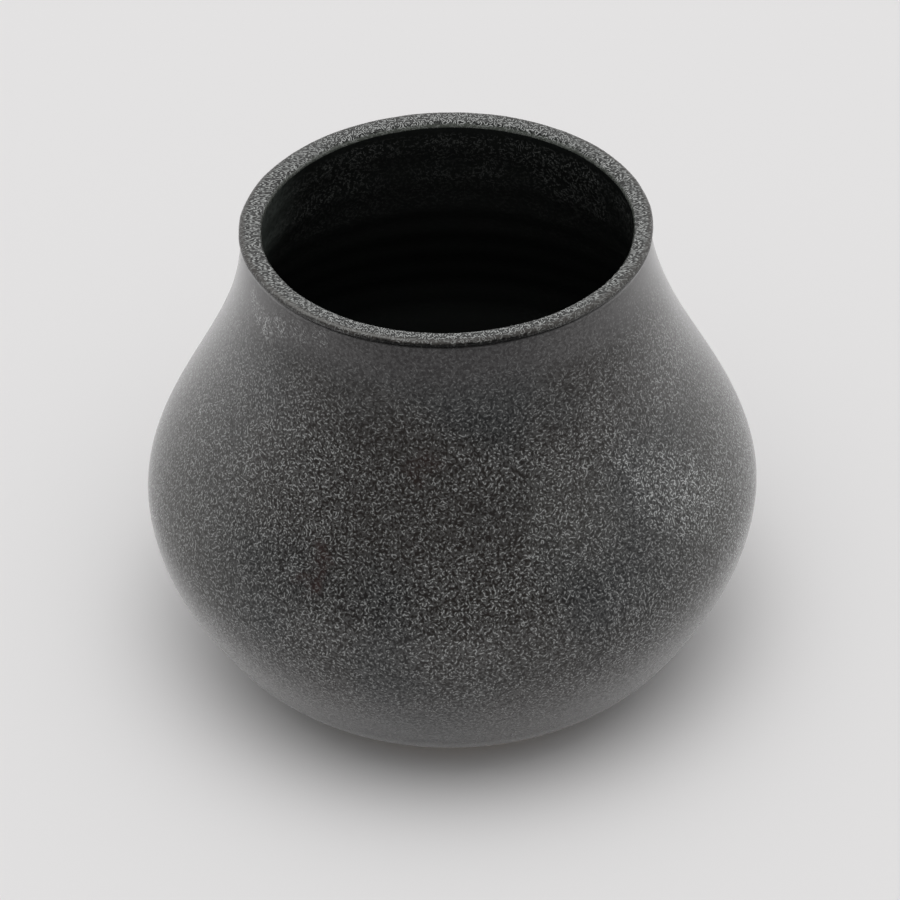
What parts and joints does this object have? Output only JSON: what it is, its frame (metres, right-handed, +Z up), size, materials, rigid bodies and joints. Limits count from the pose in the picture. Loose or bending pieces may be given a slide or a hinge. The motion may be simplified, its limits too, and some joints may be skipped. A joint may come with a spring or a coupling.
{
  "type": "vase",
  "caption": "Round wheel-thrown stoneware vase with a low full belly, a wide drawn-in neck and a thick flat lip; hollow, open at the top, standing on a foot ring with felt pads.",
  "frame": {"origin": "on the table, under the middle of the vase, at the underside of the felt pads", "axes": "+Z up along the vase's own axis, out of its mouth; the vase is round, so +X and +Y only run through the felt pads"},
  "size_m": [0.2, 0.2, 0.1722],
  "materials": {
    "glazed_stoneware": "satin",
    "felt": "matte"
  },
  "bodies": {
    "root": {"vase_body": "glazed_stoneware", "foot_pad_1": "felt", "foot_pad_2": "felt", "foot_pad_3": "felt", "foot_pad_4": "felt"}
  },
  "joints": []
}
